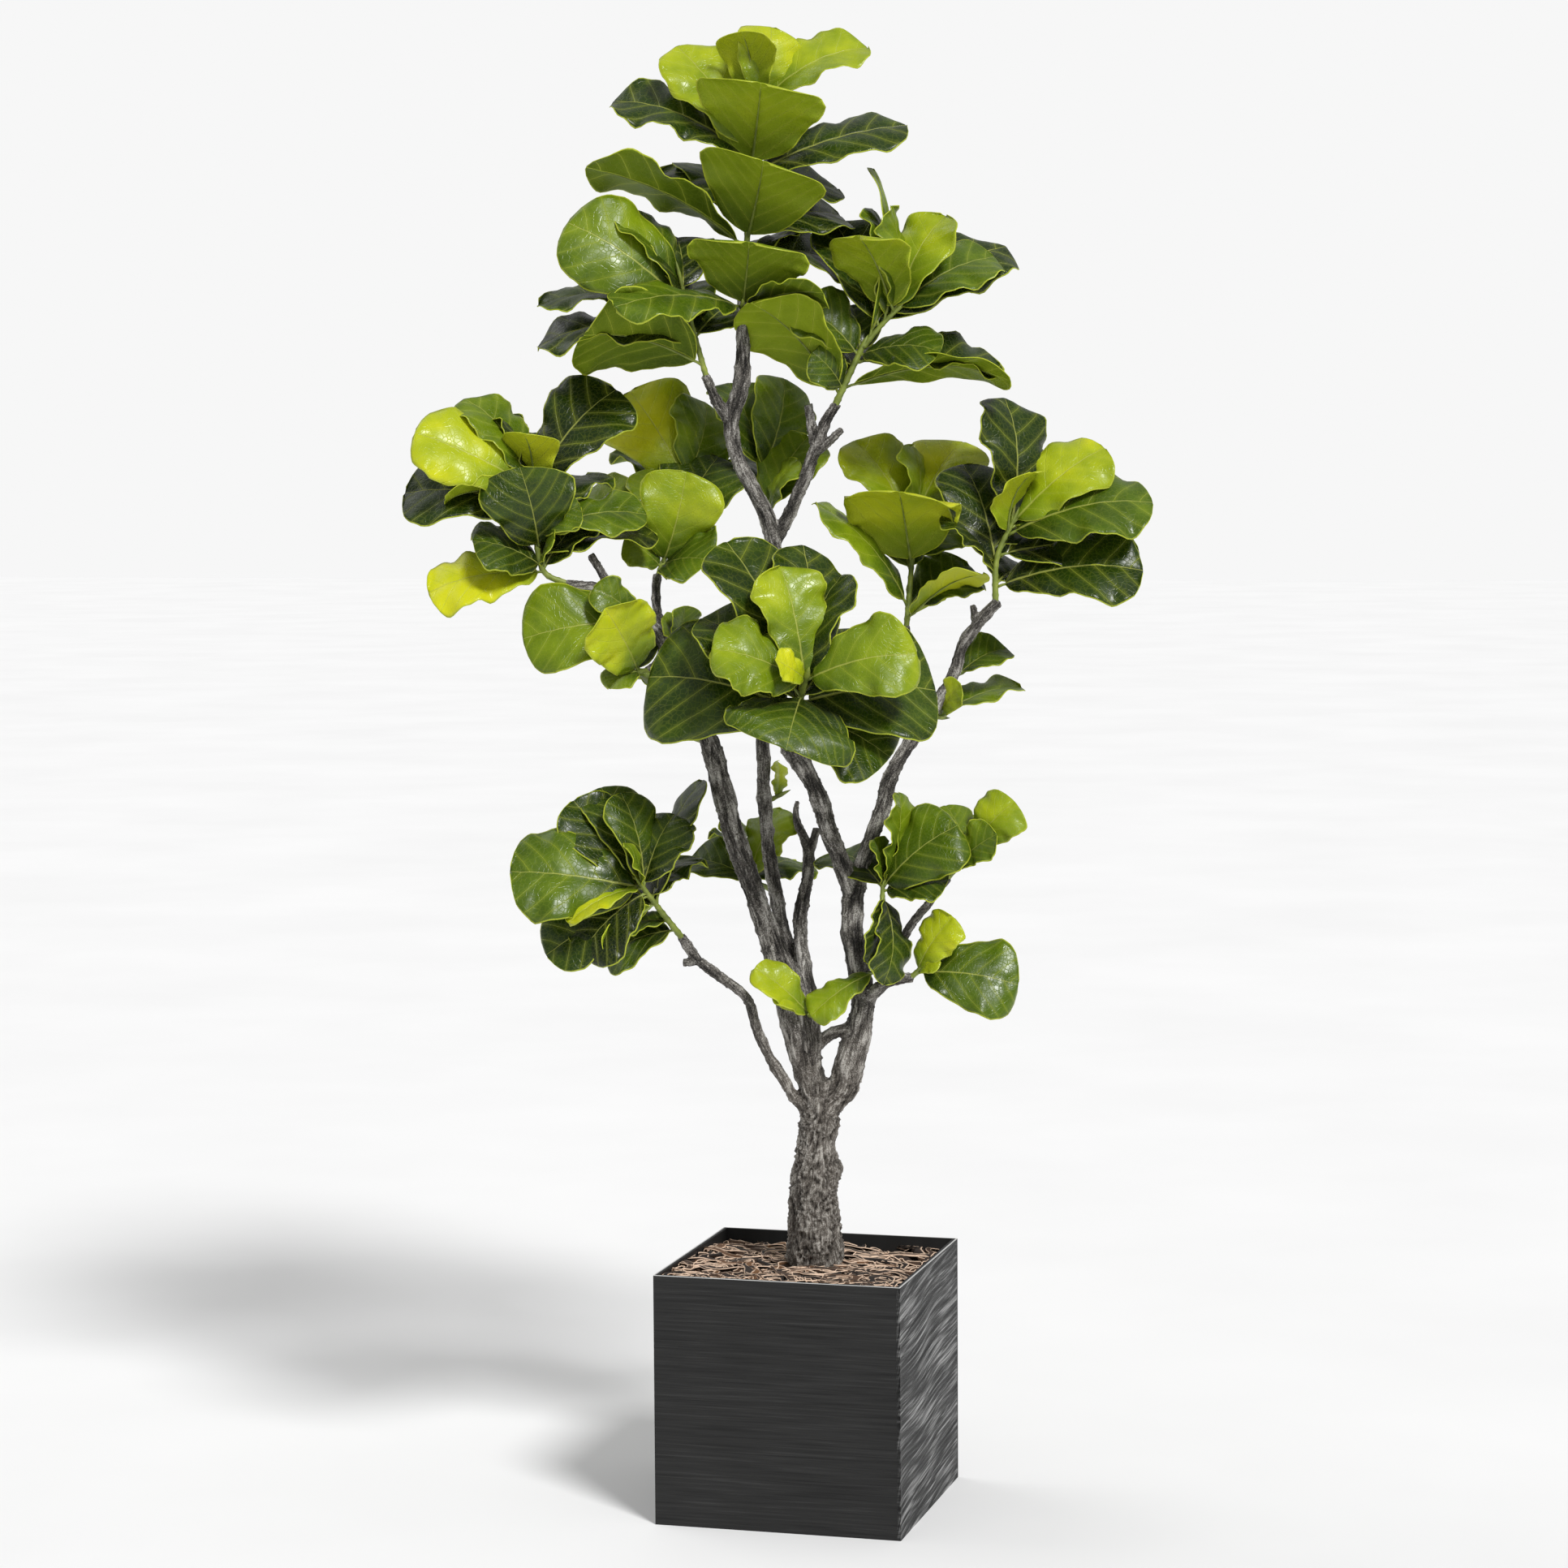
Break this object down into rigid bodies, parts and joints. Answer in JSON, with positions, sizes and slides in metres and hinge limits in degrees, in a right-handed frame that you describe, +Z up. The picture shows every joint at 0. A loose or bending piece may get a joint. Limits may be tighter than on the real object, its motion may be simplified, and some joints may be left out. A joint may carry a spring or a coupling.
{
  "type": "potted fiddle leaf fig",
  "caption": "Indoor fiddle leaf fig tree with a bare forked trunk and rosettes of large lyre-shaped leaves, planted in a square charcoal planter under shredded bark mulch.",
  "frame": {"origin": "centre of the planter's underside, on the surface that it stands on", "axes": "+Z up the tree, -Y out of the planter's front side, +X out of the side on its right"},
  "size_m": [0.9908, 0.5836, 2.0697],
  "materials": {
    "planter": "charcoal fibre composite with an embossed wood grain and a thin worn rim",
    "potting_soil": "dark moist potting soil",
    "bark_mulch": "loose shredded bark, dark brown with tan and orange edges",
    "fig_bark": "rough grey-brown bark, darker on the upper branches",
    "fig_leaf": "glossy green leaf with pale veins and a paler, duller underside"
  },
  "bodies": {
    "root": {"planter": "planter", "potting_soil": "potting_soil", "bark_mulch": "bark_mulch", "trunk_and_branches": "fig_bark", "crown_shoot": "fig_leaf", "neck_shoot": "fig_leaf", "left_top_shoot": "fig_leaf", "right_top_shoot": "fig_leaf", "right_top_lower_shoot": "fig_leaf", "far_left_shoot": "fig_leaf", "back_left_shoot": "fig_leaf", "back_middle_shoot": "fig_leaf", "left_knee_shoot": "fig_leaf", "left_low_shoot": "fig_leaf", "left_bud_shoot": "fig_leaf", "back_right_shoot": "fig_leaf", "far_right_shoot": "fig_leaf", "right_upper_bud_shoot": "fig_leaf", "right_lower_bud_shoot": "fig_leaf", "front_shoot": "fig_leaf", "left_stem_single_leaf": "fig_leaf", "low_left_shoot": "fig_leaf", "middle_back_shoot": "fig_leaf", "tall_stem_single_leaf": "fig_leaf", "low_right_shoot": "fig_leaf", "low_far_right_shoot": "fig_leaf", "low_right_tip_shoot": "fig_leaf", "trunk_front_shoot": "fig_leaf", "low_right_twig_leaf": "fig_leaf"}
  },
  "joints": []
}
